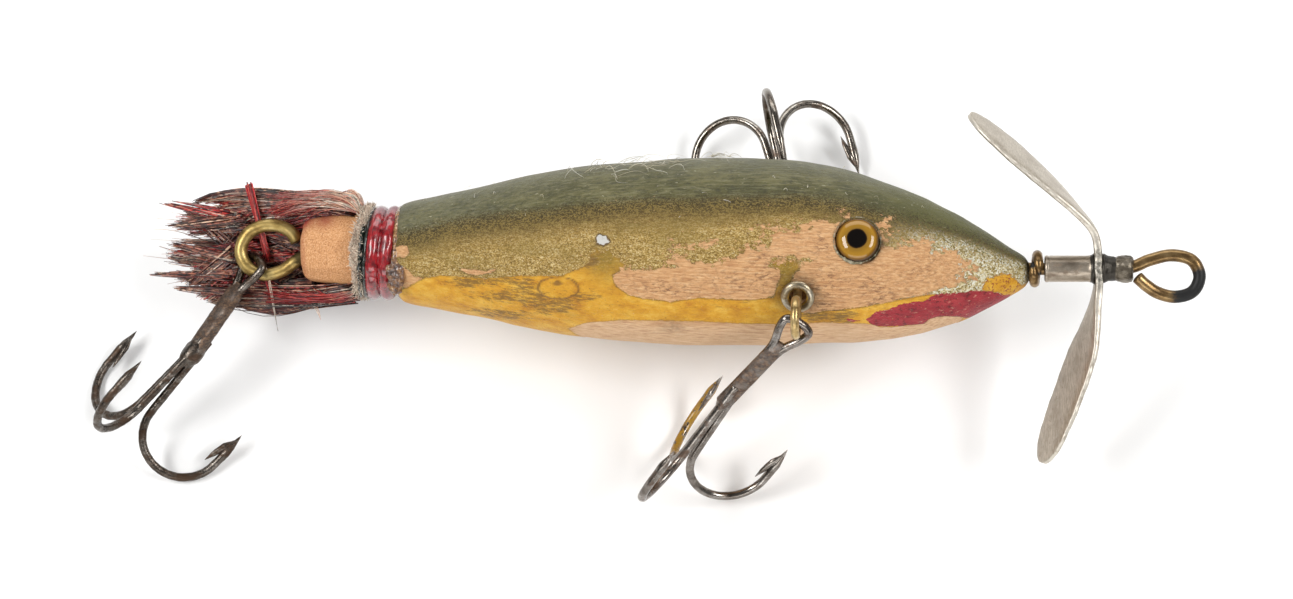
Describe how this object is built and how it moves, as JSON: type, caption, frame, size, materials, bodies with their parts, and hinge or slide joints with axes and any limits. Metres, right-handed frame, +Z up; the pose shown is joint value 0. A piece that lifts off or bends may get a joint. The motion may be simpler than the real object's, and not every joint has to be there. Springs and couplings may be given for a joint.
{
  "type": "wooden propeller fishing lure",
  "caption": "Worn hand-painted wooden fishing lure with a glass eye on each flank, a red thread binding and hair tail, treble hooks on screw eyes and a two-bladed nose propeller",
  "frame": {"origin": "on the rest surface, under the middle of the whole lure's bounding box", "axes": "+X runs towards the nose, +Y is on the back's side as the lure lies, +Z is up"},
  "size_m": [0.1376, 0.0582, 0.0294],
  "materials": {
    "painted_wood": "matte, worn paint over bare wood",
    "red_thread": "varnished thread",
    "black_thread": "varnished thread",
    "hide": "rough, fuzzy",
    "hair": "dry hair",
    "brass": "tarnished",
    "eye_glass": "polished",
    "ring_steel": "dull",
    "blade_metal": "tarnished, fine scratches",
    "solder": "rough solder",
    "hook_steel": "dark with rust"
  },
  "bodies": {
    "root": {"wood_body": "painted_wood", "red_thread_binding": "red_thread", "black_thread_binding": "black_thread", "hide_strip": "hide", "hair_tail": "hair", "tail_screw_eye": "brass", "glass_eye_near": "eye_glass", "glass_eye_far": "eye_glass", "flank_screw_eye_near": "brass", "flank_screw_eye_far": "brass", "hanger_ring_near": "ring_steel", "hanger_ring_far": "ring_steel", "line_wire": "brass", "nose_coil": "brass", "solder_collar": "solder", "treble_near": "hook_steel", "treble_far": "hook_steel", "treble_tail": "hook_steel"},
    "spinner": {"propeller_sleeve": "blade_metal", "propeller_blade": "blade_metal"}
  },
  "joints": [
    {"name": "propeller_spin", "type": "hinge", "parent": "root", "child": "spinner", "pos_m": [0.05258, 0.00037, 0.01884], "axis": [0.9982, 0, 0.0593], "continuous": true}
  ]
}
